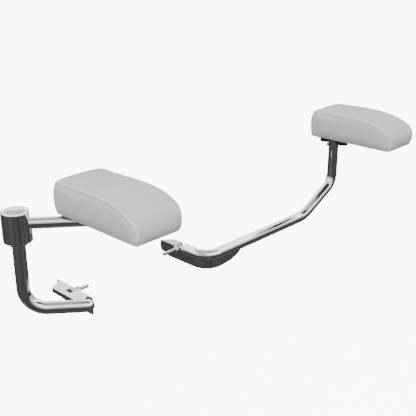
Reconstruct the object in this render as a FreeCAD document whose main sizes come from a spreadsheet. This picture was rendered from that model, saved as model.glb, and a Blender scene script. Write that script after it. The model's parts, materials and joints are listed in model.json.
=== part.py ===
"""A pair of padded arm supports for a treatment chair, each on a bent chromed tube and a clamp bracket.

Frame: +Z up, +Y towards the front of the chair, +X towards the sitter's right.
The origin is on the right bracket's mounting face, at the axis of its bolt.
Pieces of the right arm are drawn in a frame of their own, with its origin on the post's axis and
+X along the arm, and are then turned and moved to the post.
"""

import FreeCAD, Part
import math
import os

import Sketcher

os.makedirs("parts", exist_ok=True)
doc = FreeCAD.newDocument("ArmSupports")
Vector = FreeCAD.Vector
Rotation = FreeCAD.Rotation
Placement = FreeCAD.Placement

# Driving dimensions, in millimetres and degrees.
SIZES = {
    "tube_radius": 12.7,
    "tube_bore": 11.1,
    "post_reach": 118.5,
    "post_top": 140.0,
    "leg_height": 5.0,
    "leg_length": 123.0,
    "leg_bend": 44.0,
    "arm_turn": 40.0,
    "arm_length": 144.0,
    "arm_radius": 11.1,
    "arm_bore": 9.5,
    "arm_height": 181.4,
    "arm_overrun": 11.0,
    "arm_seat": 6.0,
    "cup_radius": 27.2,
    "cup_bore": 24.9,
    "cup_base": 147.4,
    "cup_floor": 155.0,
    "cup_rim": 205.6,
    "notch_play": 0.4,
    "notch_flare": 15.0,
    "sleeve_radius": 24.6,
    "hub_radius": 18.9,
    "hub_top": 201.0,
    "sleeve_top": 206.1,
    "hub_base": 155.4,
    "hub_cavity": 15.0,
    "hub_cavity_top": 168.0,
    "hub_pin_radius": 2.0,
    "hub_pin_offset": 13.0,
    "hub_pin_base": 172.0,
    "collar_radius": 16.5,
    "collar_height": 5.0,
    "spindle_depth": 35.0,
    "screw_depth": 8.0,
    "screw_end_gap": 2.0,
    "screw_head_radius": 6.5,
    "screw_head_height": 6.0,
    "retainer_gauge": 2.2,
    "retainer_radius": 14.0,
    "thrust_radius": 11.2,
    "running_gap": 0.3,
    "fit_gap": 0.05,
    "journal_radius": 8.0,
    "bush_bore": 8.05,
    "bush_radius": 10.3,
    "journal_top": 155.3,
    "stop_radius": 13.4,
    "stop_pin": 1.75,
    "swing_range": 100.0,
    "dome_height": 9.0,
    "cap_stub": 16.0,
    "plate_gauge": 4.0,
    "bracket_rear": 60.0,
    "bracket_front": 56.5,
    "bracket_top": 5.0,
    "bracket_drop": 33.0,
    "web_width": 32.0,
    "web_rear": 52.0,
    "web_corner": 37.0,
    "flange_drop": 10.0,
    "bracket_span": 287.0,
    "left_drop": 28.0,
    "left_web_width": 26.0,
    "left_web_front": 9.0,
    "left_corner": 34.0,
    "left_start": 24.0,
    "left_bend": 37.0,
    "left_run": 92.0,
    "left_post": 762.5,
    "incline_start": 643.0,
    "incline_angle": 27.0,
    "incline_bend": 80.0,
    "left_post_bend": 40.0,
    "left_post_top": 188.0,
    "gusset_end": 403.5,
    "bolt_radius": 4.0,
    "bolt_root": 3.75,
    "bolt_chamfer": 1.0,
    "head_height": 5.5,
    "washer_gauge": 1.6,
    "washer_radius": 8.5,
    "bolt_slot": 4.3,
    "nut_radius": 7.5,
    "right_bolt_reach": 31.0,
    "left_bolt_reach": 45.0,
    "nut_gap": 2.6,
    "nut_height": 6.5,
    "plate_base": 192.5,
    "plate_top": 195.0,
    "pad_base": 195.1,
    "pad_length": 240.0,
    "pad_width": 120.0,
    "pad_height": 72.0,
    "right_pad_rear": 58.0,
    "left_pad_rear": 44.0,
    "pad_front_round": 56.0,
    "pad_end_round": 14.0,
    "pad_side_round": 14.0,
    "cover_gauge": 2.0,
    "lining_gap": 0.2,
    "board_gauge": 12.0,
    "board_inset": 12.0,
    "knob_radius": 13.0,
    "knob_base": 173.5,
    "knob_top": 187.5,
    "knob_pitch": 54.0,
    "knob_neck": 7.0,
    "stud_radius": 3.0,
    "stud_top": 208.5,
    "tee_barrel": 4.0,
    "tee_flange": 9.0,
    "tee_gauge": 1.2,
    "pad_plate_length": 84.0,
    "right_knob_offset": 21.0,
    "stem_radius": 11.05,
    "stem_base": 120.0,
    "screw_height": 167.0,
    "screw_head": 5.0,
}

sheet = doc.addObject("Spreadsheet::Sheet", "dims")
for row, (alias, value) in enumerate(SIZES.items(), start=1):
    sheet.set(f"A{row}", alias.replace("_", " "))
    sheet.set(f"B{row}", str(value))
    sheet.setAlias(f"B{row}", alias)
doc.recompute()

# Formulas that several pieces share.
ARM_END_X = "(dims.post_reach - dims.arm_length * cos(dims.arm_turn * 1 deg))"
ARM_END_Y = "(dims.arm_length * sin(dims.arm_turn * 1 deg))"
BOARD_BASE = "(dims.pad_base + dims.cover_gauge + dims.lining_gap)"
BOARD_TOP = f"({BOARD_BASE} + dims.board_gauge)"
ALONG_X = Rotation(Vector(0, 1, 0), 90)
ALONG_MINUS_X = Rotation(Vector(0, 1, 0), -90)
ALONG_Y = Rotation(Vector(1, 0, 0), -90)
UPRIGHT = Rotation()
subparts = []


def read(formula):
    """The value of a formula on the sheet, in millimetres or degrees."""
    found = sheet.evalExpression(str(formula).replace("dims.", ""))
    return float(getattr(found, "Value", found))


def bind(item, **formulas):
    """Binds properties to formulas; a double underscore stands for a dot in the property's path."""
    for path, formula in formulas.items():
        item.setExpression(path.replace("__", "."), str(formula))
    return item


def place(item, at, turn=UPRIGHT):
    """Turns an object and binds its position to three formulas."""
    item.Placement = Placement(Vector(*[read(part) for part in at]), turn)
    bind(item, Placement__Base__x=at[0], Placement__Base__y=at[1], Placement__Base__z=at[2])
    return item


def cylinder(name, radius, height, at=("0", "0", "0"), turn=UPRIGHT):
    item = doc.addObject("Part::Cylinder", name)
    bind(item, Radius=radius, Height=height)
    return place(item, at, turn)


def cone(name, base, tip, height, at=("0", "0", "0"), turn=UPRIGHT):
    item = doc.addObject("Part::Cone", name)
    bind(item, Radius1=base, Radius2=tip, Height=height)
    return place(item, at, turn)


def hexagon(name, radius, height, at, turn):
    item = doc.addObject("Part::Prism", name)
    item.Polygon = 6
    bind(item, Circumradius=radius, Height=height)
    return place(item, at, turn)


def block(name, length, width, height, at):
    item = doc.addObject("Part::Box", name)
    bind(item, Length=length, Width=width, Height=height)
    return place(item, at)


def fuse(name, pieces):
    item = doc.addObject("Part::MultiFuse", name)
    item.Shapes = pieces
    item.Refine = True
    return item


def cut(name, base, tools):
    """The base less its tools, checked later to have removed something."""
    tool = tools[0] if len(tools) == 1 else fuse(name + "_tools", tools)
    item = doc.addObject("Part::Cut", name)
    item.Base = base
    item.Tool = tool
    return item


def common(name, base, tool):
    item = doc.addObject("Part::Common", name)
    item.Base = base
    item.Tool = tool
    return item


def keep(item, label):
    """Names a finished sub-part, which is written to a file of that name."""
    item.Label = label
    subparts.append(item)
    return item


def to_post(item):
    """Takes a piece from the arm's own frame to the right post."""
    carried = doc.addObject("Part::Compound", item.Name + "_placed")
    carried.Links = [item]
    carried.Placement = Placement(Vector(), Rotation(Vector(0, 0, 1), 180 - SIZES["arm_turn"]))
    heading = "180 deg - dims.arm_turn * 1 deg"
    return bind(carried, Placement__Base__x="dims.post_reach", Placement__Rotation__Angle=heading)


def outline(sketch, points):
    """A closed polygon whose corners are bound to pairs of formulas."""
    spots = [Vector(read(x), read(y), 0) for x, y in points]
    for start, end in zip(spots, spots[1:] + spots[:1]):
        sketch.addGeometry(Part.LineSegment(start, end), False)
    for index in range(len(points)):
        following = (index + 1) % len(points)
        sketch.addConstraint(Sketcher.Constraint("Coincident", index, 2, following, 1))
    for index, (x, y) in enumerate(points):
        for kind, formula, axis in (("DistanceX", x, -2), ("DistanceY", y, -1)):
            if formula == "0":
                sketch.addConstraint(Sketcher.Constraint("PointOnObject", index, 1, axis))
                continue
            value = read(formula)
            ends = (-1, 1, index, 1) if value >= 0 else (index, 1, -1, 1)
            number = sketch.addConstraint(Sketcher.Constraint(kind, *ends, abs(value)))
            sign = "" if value >= 0 else "-1 * "
            sketch.setExpression(f"Constraints[{number}]", f"{sign}({formula})")


def new_sketch(body, name, plane):
    """A sketch on one of its body's own origin planes."""
    sketch = body.newObject("Sketcher::SketchObject", name)
    support = [item for item in body.Origin.OriginFeatures if item.Role == plane][0]
    sketch.AttachmentSupport = (support, [""])
    sketch.MapMode = "FlatFace"
    return sketch


def turned(name, points):
    """A piece turned on a lathe: radius and height pairs, revolved about Z."""
    body = doc.addObject("PartDesign::Body", name)
    sketch = new_sketch(body, name + "_profile", "XZ_Plane")
    outline(sketch, points)
    solid = body.newObject("PartDesign::Revolution", name + "_turned")
    solid.Profile = sketch
    solid.ReferenceAxis = (sketch, ["V_Axis"])
    solid.Angle = 360
    return body


def pressed(name, plane, points, depth, at):
    """A flat blank: an outline on a plane, padded by half its depth to each side, then moved."""
    body = doc.addObject("PartDesign::Body", name)
    sketch = new_sketch(body, name + "_outline", plane)
    outline(sketch, points)
    solid = body.newObject("PartDesign::Pad", name + "_pad")
    solid.Profile = sketch
    solid.SideType = "Symmetric"
    bind(solid, Length=depth)
    return place(body, at)


def rounded_route(name, corners, radii):
    """A wire of straight runs joined by tangent arcs, one radius for each inner corner."""
    edges = []
    last = corners[0]
    for before, corner, after, radius in zip(corners, corners[1:], corners[2:], radii):
        back = (before - corner).normalize()
        ahead = (after - corner).normalize()
        half_angle = back.getAngle(ahead) / 2
        reach = radius / math.tan(half_angle)
        bisector = (back + ahead).normalize()
        depth = (reach ** 2 + radius ** 2) ** 0.5 - radius
        start = corner + back * reach
        end = corner + ahead * reach
        edges.append(Part.makeLine(last, start))
        edges.append(Part.Arc(start, corner + bisector * depth, end).toShape())
        last = end
    edges.append(Part.makeLine(last, corners[-1]))
    item = doc.addObject("Part::Feature", name)
    item.Shape = Part.Wire(edges)
    return item


def swept_rod(name, route, radius, start, turn):
    """A round rod that follows a route from its first point."""
    ring = doc.addObject("Part::Circle", name + "_section")
    bind(ring, Radius=radius)
    place(ring, start, turn)
    item = doc.addObject("Part::Sweep", name)
    item.Sections = [ring]
    item.Spine = (route, [f"Edge{number + 1}" for number in range(len(route.Shape.Edges))])
    item.Solid = True
    item.Frenet = False
    return item


# --- Right lower tube: post, bend and level leg, in the arm's own frame -----------------------------

UP_POST = ("0", "0", "dims.post_top")
leg_route = rounded_route(
    "right_leg_route",
    [
        Vector(0, 0, read("dims.post_top")),
        Vector(0, 0, read("dims.leg_height")),
        Vector(read("dims.leg_length"), 0, read("dims.leg_height")),
    ],
    [read("dims.leg_bend")],
)
leg_outside = swept_rod("right_leg_outside", leg_route, "dims.tube_radius", UP_POST, UPRIGHT)
leg_inside = swept_rod("right_leg_inside", leg_route, "dims.tube_bore", UP_POST, UPRIGHT)
keep(to_post(cut("RightLeg", leg_outside, [leg_inside])), "right_lower_tube")


def end_cap(name, outer, bore, at, turn):
    """A domed cap: its stub fits a tube's bore, and its rim is on the tube's end."""
    stub_start = ("0", "0", "-1 * dims.cap_stub")
    stub = cylinder(name + "_stub", f"{bore} - dims.fit_gap", "dims.cap_stub", stub_start)
    ball_radius = f"({outer} ^ 2 + dims.dome_height ^ 2) / (2 * dims.dome_height)"
    ball = doc.addObject("Part::Sphere", name + "_ball")
    bind(ball, Radius=ball_radius)
    place(ball, ("0", "0", f"dims.dome_height - {ball_radius}"))
    limit = cylinder(name + "_limit", f"{outer} + 4", "dims.dome_height + 4")
    dome = common(name + "_dome", ball, limit)
    return place(fuse(name, [stub, dome]), at, turn)


leg_end = ("dims.leg_length", "0", "dims.leg_height")
leg_cap = end_cap("RightLegCap", "dims.tube_radius", "dims.tube_bore", leg_end, ALONG_X)
keep(to_post(leg_cap), "right_tube_end_cap")

# --- Pivot at the top of the right post -------------------------------------------------------------

COLLAR_TOP = "dims.post_top + dims.collar_height"
spindle_blank = turned(
    "SpindleBlank",
    [
        ("0", "dims.post_top - dims.spindle_depth"),
        ("dims.tube_bore - dims.fit_gap", "dims.post_top - dims.spindle_depth"),
        ("dims.tube_bore - dims.fit_gap", "dims.post_top"),
        ("dims.collar_radius", "dims.post_top"),
        ("dims.collar_radius", COLLAR_TOP),
        ("dims.journal_radius", COLLAR_TOP),
        ("dims.journal_radius", "dims.journal_top"),
        ("dims.bolt_radius + dims.fit_gap", "dims.journal_top"),
        ("dims.bolt_radius + dims.fit_gap", "dims.post_top - dims.screw_depth"),
        ("0", "dims.post_top - dims.screw_depth"),
    ],
)
pin_spot = ("-1 * dims.stop_radius", "0", "dims.post_top + 1")
pin_hole = cylinder("StopPinHole", "dims.stop_pin + 0.02", "10", pin_spot)
keep(to_post(cut("PivotSpindle", spindle_blank, [pin_hole])), "pivot_spindle")
keep(to_post(cylinder("StopPin", "dims.stop_pin", "9.9", pin_spot)), "swing_stop_pin")


def ring(name, inner, outer, base, top):
    """A plain washer or bush."""
    return turned(name, [(inner, base), (outer, base), (outer, top), (inner, top)])


thrust_inner = "dims.journal_radius + dims.running_gap"
thrust_top = "dims.cup_base - dims.running_gap"
thrust = ring("ThrustWasher", thrust_inner, "dims.thrust_radius", COLLAR_TOP, thrust_top)
keep(to_post(thrust), "thrust_washer")
washer_top = "dims.journal_top + dims.retainer_gauge"
retainer_inner = "dims.bolt_radius + dims.running_gap"
retainer = ring("RetainingWasher", retainer_inner, "dims.retainer_radius", "dims.journal_top", washer_top)
keep(to_post(retainer), "retaining_washer")
SCREW_END = "dims.post_top - dims.screw_depth + dims.screw_end_gap"
screw_blank = turned(
    "SpindleScrewBlank",
    [
        ("0", SCREW_END),
        ("dims.bolt_radius", SCREW_END),
        ("dims.bolt_radius", washer_top),
        ("dims.screw_head_radius", washer_top),
        ("dims.screw_head_radius", washer_top + " + dims.screw_head_height"),
        ("0", washer_top + " + dims.screw_head_height"),
    ],
)
socket = hexagon("SpindleScrewSocket", "3.4", "4", ("0", "0", washer_top + " + 2.5"), UPRIGHT)
keep(to_post(cut("SpindleScrew", screw_blank, [socket])), "spindle_screw")

# --- Swinging cup with the arm's notch --------------------------------------------------------------

cup_blank = turned(
    "CupBlank",
    [
        ("dims.bush_radius + 0.02", "dims.cup_base"),
        ("dims.cup_radius - 1", "dims.cup_base"),
        ("dims.cup_radius", "dims.cup_base + 1"),
        ("dims.cup_radius", "dims.cup_rim"),
        ("dims.cup_bore", "dims.cup_rim"),
        ("dims.cup_bore", "dims.cup_floor"),
        ("dims.bush_radius + 0.02", "dims.cup_floor"),
    ],
)
NOTCH = "(dims.arm_radius + dims.notch_play)"
FLARE = "(dims.notch_flare * 1 deg)"
flank_foot = f"{NOTCH} * cos{FLARE}"
flank_drop = f"-1 * {NOTCH} * sin{FLARE}"
flank_top = f"{NOTCH} / cos{FLARE} + 30 * tan{FLARE}"
notch_sides = pressed(
    "NotchSides",
    "YZ_Plane",
    [
        (f"-1 * {flank_foot}", flank_drop),
        (flank_foot, flank_drop),
        (flank_top, "30"),
        (f"-1 * ({flank_top})", "30"),
    ],
    "20",
    ("dims.cup_radius", "0", "dims.arm_height"),
)
notch_base = cylinder("NotchBase", NOTCH, "20", ("dims.cup_radius - 10", "0", "dims.arm_height"), ALONG_X)
slot_outer = cylinder("SlotOuter", "dims.stop_radius + dims.stop_pin + 0.3", "4")
slot_inner = cylinder("SlotInner", "dims.stop_radius - dims.stop_pin - 0.3", "4")
bind(slot_outer, Angle="dims.swing_range + 2")
slot_start = "dims.cup_base"
slot_arc = cut("SlotArc", slot_outer, [slot_inner])
place(slot_arc, ("0", "0", slot_start), Rotation(Vector(0, 0, 1), 179))
slot_ends = []
for number, angle in enumerate(("179 deg", "181 deg + dims.swing_range * 1 deg")):
    spot = (f"dims.stop_radius * cos({angle})", f"dims.stop_radius * sin({angle})", slot_start)
    slot_ends.append(cylinder(f"SlotEnd{number}", "dims.stop_pin + 0.3", "4", spot))
cup = cut("PivotCup", cup_blank, [notch_sides, notch_base, slot_arc, *slot_ends])
keep(to_post(cup), "pivot_cup")
bush = ring("PivotBush", "dims.bush_bore", "dims.bush_radius", "dims.cup_base", "dims.cup_floor")
keep(to_post(bush), "pivot_bush")

# --- Hub and upper tube, which lift out of the cup --------------------------------------------------

ARM_LINE = ("dims.arm_seat - dims.fit_gap", "0", "dims.arm_height")
PIN_LINE = ("dims.hub_pin_offset", "0", "dims.hub_pin_base")
hub_blank = turned(
    "HubBlank",
    [
        ("dims.hub_cavity", "dims.hub_base"),
        ("dims.hub_radius", "dims.hub_base"),
        ("dims.hub_radius", "dims.hub_top"),
        ("0", "dims.hub_top"),
        ("0", "dims.hub_cavity_top"),
        ("dims.hub_cavity", "dims.hub_cavity_top"),
    ],
)
arm_hole = cylinder("ArmHole", "dims.arm_radius + dims.fit_gap", "40", ARM_LINE, ALONG_X)
pin_bore = cylinder("HubPinBore", "dims.hub_pin_radius + dims.fit_gap", "40", PIN_LINE)
keep(to_post(cut("ArmHub", hub_blank, [arm_hole, pin_bore])), "arm_hub")
sleeve_inner = "dims.hub_radius + 0.1"
sleeve_blank = ring("SleeveBlank", sleeve_inner, "dims.sleeve_radius", "dims.hub_base", "dims.sleeve_top")
keep(to_post(cut("HubSleeve", sleeve_blank, [arm_hole])), "hub_sleeve")
hub_pin_length = "dims.hub_top - dims.hub_pin_base - 1"
keep(to_post(cylinder("HubPin", "dims.hub_pin_radius", hub_pin_length, PIN_LINE)), "hub_cross_pin")

arm_reach = "dims.arm_length + dims.arm_overrun - dims.arm_seat"
arm_start = ("dims.arm_seat", "0", "dims.arm_height")
arm_rod = cylinder("ArmOutside", "dims.arm_radius", arm_reach, arm_start, ALONG_X)
arm_hollow = cylinder("ArmInside", "dims.arm_bore", arm_reach, arm_start, ALONG_X)
keep(to_post(cut("UpperTube", arm_rod, [arm_hollow, pin_bore])), "upper_tube")
arm_end = ("dims.arm_length + dims.arm_overrun", "0", "dims.arm_height")
arm_plug = end_cap("ArmPlug", "dims.arm_radius", "dims.arm_bore", arm_end, ALONG_X)
keep(to_post(arm_plug), "upper_tube_plug")

# --- Brackets and their bolts -----------------------------------------------------------------------


def bracket_slot(name, face):
    """The open-topped notch that a bolt drops into, through the plate beside a face."""
    across = cylinder(name + "_round", "dims.bolt_slot", "30", (f"{face} - 15", "0", "0"), ALONG_X)
    slot_corner = (f"{face} - 15", "-1 * dims.bolt_slot", "0")
    above = block(name + "_open", "30", "2 * dims.bolt_slot", "12", slot_corner)
    return [across, above]


right_plate = pressed(
    "RightPlate",
    "YZ_Plane",
    [
        ("-1 * dims.bracket_rear", "dims.bracket_top"),
        ("-1 * dims.bracket_rear", "-1 * dims.bracket_drop + 12"),
        ("-1 * dims.bracket_rear + 15", "-1 * dims.bracket_drop"),
        ("dims.bracket_front", "-1 * dims.bracket_drop"),
        ("dims.bracket_front", "dims.bracket_top"),
    ],
    "dims.plate_gauge",
    ("dims.plate_gauge / 2", "0", "0"),
)
right_web = pressed(
    "RightWeb",
    "XY_Plane",
    [
        ("1", "-1 * dims.web_rear"),
        ("dims.web_width", "-1 * dims.web_corner"),
        ("dims.web_width", "62"),
        ("1", "42"),
    ],
    "dims.plate_gauge",
    ("0", "0", "dims.bracket_top - dims.plate_gauge / 2"),
)
right_flange = block(
    "RightFlange",
    "dims.plate_gauge",
    "dims.web_corner + 62",
    "dims.flange_drop",
    ("dims.web_width - dims.plate_gauge", "-1 * dims.web_corner", "dims.bracket_top - dims.flange_drop"),
)
seat_radius = "dims.tube_radius + dims.fit_gap"
leg_line = ("0", "0", "dims.leg_height")
leg_seat = cylinder("RightLegSeat", seat_radius, "dims.leg_length + 20", leg_line, ALONG_X)
head_room = block("RightHeadRoom", "16", "19", "12", ("dims.plate_gauge", "-9.5", "0"))
right_bracket = cut(
    "RightBracket",
    fuse("RightChannel", [right_plate, right_web, right_flange]),
    [to_post(leg_seat), head_room, *bracket_slot("RightSlot", "0")],
)
keep(right_bracket, "right_bracket")

left_face = "(-1 * dims.bracket_span)"
left_mid = f"({left_face} - dims.plate_gauge / 2)"
left_level = read("dims.leg_height")
left_x = read(left_mid)
run_y = read("dims.left_run")
post_x = -read("dims.left_post")
incline_x = -read("dims.incline_start")
incline_rise = (incline_x - post_x) * math.tan(math.radians(read("dims.incline_angle")))
strip_level = read("dims.bracket_top - (dims.bracket_top + dims.left_drop) / 2")
strip_route = rounded_route(
    "left_strip_route",
    [
        Vector(left_x, 2 - read("dims.bracket_rear"), strip_level),
        Vector(left_x, run_y, strip_level),
        Vector(-read("dims.gusset_end"), run_y, strip_level),
    ],
    [read("dims.left_bend")],
)
strip_section = doc.addObject("Part::Plane", "left_strip_section")
bind(strip_section, Length="dims.plate_gauge", Width="dims.bracket_top + dims.left_drop")
strip_corner = (f"{left_mid} - dims.plate_gauge / 2", "2 - dims.bracket_rear", "-1 * dims.left_drop")
place(strip_section, strip_corner, Rotation(Vector(1, 0, 0), 90))
left_strip = doc.addObject("Part::Sweep", "left_strip")
left_strip.Sections = [strip_section]
left_strip.Spine = (strip_route, ["Edge1", "Edge2", "Edge3"])
left_strip.Solid = True
left_strip.Frenet = False
left_web = pressed(
    "LeftWeb",
    "XY_Plane",
    [
        (left_mid, "2 - dims.bracket_rear"),
        (left_mid, "-1 * dims.left_web_front"),
        (f"{left_face} - dims.left_web_width", "-1 * dims.left_web_front"),
        (f"{left_face} - dims.left_web_width", "-1 * dims.left_corner"),
    ],
    "dims.plate_gauge",
    ("0", "0", "dims.bracket_top - dims.plate_gauge / 2"),
)
left_flange = block(
    "LeftFlange",
    "dims.plate_gauge",
    "dims.left_corner - dims.left_web_front",
    "dims.flange_drop",
    (
        f"{left_face} - dims.left_web_width",
        "-1 * dims.left_corner",
        "dims.bracket_top - dims.flange_drop",
    ),
)
left_corners = [
    Vector(left_x, read("dims.left_start"), left_level),
    Vector(left_x, run_y, left_level),
    Vector(incline_x, run_y, left_level),
    Vector(post_x, run_y, left_level + incline_rise),
    Vector(post_x, run_y, read("dims.left_post_top")),
]
left_bends = [read("dims.left_bend"), read("dims.incline_bend"), read("dims.left_post_bend")]
left_route = rounded_route("left_route", left_corners, left_bends)
seat_corners = [left_corners[0] - Vector(0, read("dims.dome_height") + 1, 0), *left_corners[1:3]]
seat_route = rounded_route("left_seat_route", seat_corners, left_bends[:1])
left_seat_start = (left_mid, "dims.left_start - dims.dome_height - 1", "dims.leg_height")
left_seat = swept_rod("left_seat", seat_route, seat_radius, left_seat_start, ALONG_Y)
rear_trim = pressed(
    "LeftRearTrim",
    "YZ_Plane",
    [
        ("-1 * dims.bracket_rear", "-16"),
        ("-30", "-1 * dims.left_drop"),
        ("-30", "-1 * dims.left_drop - 5"),
        ("-1 * dims.bracket_rear", "-1 * dims.left_drop - 5"),
    ],
    "30",
    (left_mid, "0", "0"),
)
taper_trim = pressed(
    "LeftTaperTrim",
    "XZ_Plane",
    [
        ("-1", "-7"),
        ("14", "-17.5"),
        ("36", "-25"),
        ("68", "-1 * dims.left_drop"),
        ("68", "-1 * dims.left_drop - 5"),
        ("-1", "-1 * dims.left_drop - 5"),
    ],
    "30",
    ("-1 * dims.gusset_end", "dims.left_run", "0"),
)
left_bracket = cut(
    "LeftBracket",
    fuse("LeftChannel", [left_strip, left_web, left_flange]),
    [left_seat, rear_trim, taper_trim, *bracket_slot("LeftSlot", left_face)],
)
keep(left_bracket, "left_bracket")


def bolt_set(side, face, reach, inward):
    """A bolt, washer and nut on the X axis; inward is -1 where the bolt points along -X.

    The shank is at the thread's root radius under the head and nut, and at its full radius beyond the nut.
    """
    turn = ALONG_X if inward > 0 else ALONG_MINUS_X
    back = ALONG_MINUS_X if inward > 0 else ALONG_X

    def spot(distance):
        return (f"{face} + {inward} * ({distance})", "0", "0")

    name = side.capitalize()
    nut_end = "dims.nut_gap + dims.nut_height + dims.running_gap"
    under_head = "-1 * dims.plate_gauge - dims.washer_gauge"
    thread_end = f"{reach} - dims.bolt_chamfer"
    root = cylinder(name + "Root", "dims.bolt_root", f"{nut_end} - ({under_head})", spot(under_head), turn)
    thread = cylinder(name + "Thread", "dims.bolt_radius", f"{thread_end} - ({nut_end})", spot(nut_end), turn)
    tip_radius = "dims.bolt_radius - dims.bolt_chamfer"
    tip = cone(name + "Tip", "dims.bolt_radius", tip_radius, "dims.bolt_chamfer", spot(thread_end), turn)
    head = hexagon(name + "Head", "dims.nut_radius", "dims.head_height", spot(under_head), back)
    keep(fuse(name + "Bolt", [root, thread, tip, head]), f"{side}_mount_bolt")
    washer_face = spot("-1 * dims.plate_gauge")
    disc = cylinder(name + "WasherDisc", "dims.washer_radius", "dims.washer_gauge", washer_face, back)
    hole = cylinder(name + "WasherHole", "dims.bolt_radius + 0.2", "dims.washer_gauge", washer_face, back)
    keep(cut(name + "Washer", disc, [hole]), f"{side}_bolt_washer")
    nut_face = spot("dims.nut_gap")
    nut = hexagon(name + "NutBlank", "dims.nut_radius", "dims.nut_height", nut_face, turn)
    bore = cylinder(name + "NutBore", "dims.bolt_root + dims.fit_gap", "dims.nut_height", nut_face, turn)
    keep(cut(name + "Nut", nut, [bore]), f"{side}_mount_nut")


bolt_set("right", "0", "dims.right_bolt_reach", -1)
bolt_set("left", left_face, "dims.left_bolt_reach", 1)

# --- Left tube, its cap and the clamp screw ---------------------------------------------------------

left_start = (left_mid, "dims.left_start", "dims.leg_height")
left_outside = swept_rod("left_outside", left_route, "dims.tube_radius", left_start, ALONG_Y)
left_inside = swept_rod("left_inside", left_route, "dims.tube_bore", left_start, ALONG_Y)
LEFT_POST = "(-1 * dims.left_post)"
AWAY = Rotation(Vector(1, 0, 0), 90)


def clamp_spot(distance):
    """A point behind the left post's axis, at the clamp screw's height."""
    return (LEFT_POST, f"dims.left_run - ({distance})", "dims.screw_height")


screw_hole = cylinder("LeftScrewHole", "dims.stud_radius + dims.fit_gap", "12", clamp_spot("9"), AWAY)
keep(cut("LeftTube", left_outside, [left_inside, screw_hole]), "left_tube")
keep(end_cap("LeftTubeCap", "dims.tube_radius", "dims.tube_bore", left_start, AWAY), "left_tube_end_cap")
clamp_shank = cylinder("LeftScrewShank", "dims.stud_radius", "5", clamp_spot("9.5"), AWAY)
clamp_head = cylinder("LeftScrewHead", "dims.screw_head", "6", clamp_spot("14.2"), AWAY)
keep(fuse("LeftClampScrew", [clamp_shank, clamp_head]), "left_clamp_screw")

stem = turned(
    "LeftStem",
    [
        ("0", "dims.stem_base"),
        ("dims.stem_radius", "dims.stem_base"),
        ("dims.stem_radius", "dims.screw_height - 5"),
        ("9", "dims.screw_height - 5"),
        ("9", "dims.screw_height + 5"),
        ("dims.stem_radius", "dims.screw_height + 5"),
        ("dims.stem_radius", "dims.left_post_top + 0.3"),
        ("dims.tube_radius", "dims.left_post_top + 0.3"),
        ("dims.tube_radius", "dims.plate_base"),
        ("0", "dims.plate_base"),
    ],
)
keep(place(stem, (LEFT_POST, "dims.left_run", "0")), "left_pad_stem")

# --- Pads -------------------------------------------------------------------------------------------


def pad_block(name, inset):
    """A rounded block, its rear end at Y = 0 and its base at Z = 0, set in all round by a distance."""
    far_end = f"dims.pad_length - {inset}"
    top = f"dims.pad_height - {inset}"
    body = doc.addObject("PartDesign::Body", name)
    sketch = new_sketch(body, name + "_side", "YZ_Plane")
    outline(sketch, [(inset, inset), (far_end, inset), (far_end, top), (inset, top)])
    solid = body.newObject("PartDesign::Pad", name + "_pad")
    solid.Profile = sketch
    solid.SideType = "Symmetric"
    bind(solid, Length=f"dims.pad_width - 2 * {inset}")
    doc.recompute()

    def edges(wanted):
        shape = body.Tip.Shape
        return [f"Edge{number}" for number, edge in enumerate(shape.Edges, start=1) if wanted(edge)]

    def rounded(label, wanted, radius):
        base = body.Tip
        fillet = body.newObject("PartDesign::Fillet", f"{name}_{label}")
        fillet.Base = (base, wanted)
        bind(fillet, Radius=f"{radius} - {inset}")
        doc.recompute()

    length, height = read(far_end), read(top)
    half_width = read("dims.pad_width / 2") - read(inset)

    def across(edge):
        return edge.BoundBox.XLength > 1

    def on_front_top(edge):
        middle = edge.CenterOfMass
        return across(edge) and middle.y > length - 1 and middle.z > height - 1

    rounded("front", edges(on_front_top), "dims.pad_front_round")

    def other_corner(edge):
        middle = edge.CenterOfMass
        low = middle.z < read(inset) + 0.1
        return across(edge) and (low or middle.y < read(inset) + 0.1)

    rounded("ends", edges(other_corner), "dims.pad_end_round")

    def beside(edge):
        return abs(edge.CenterOfMass.x) > half_width - 0.01

    rounded("sides", edges(beside), "dims.pad_side_round")
    return body


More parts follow.
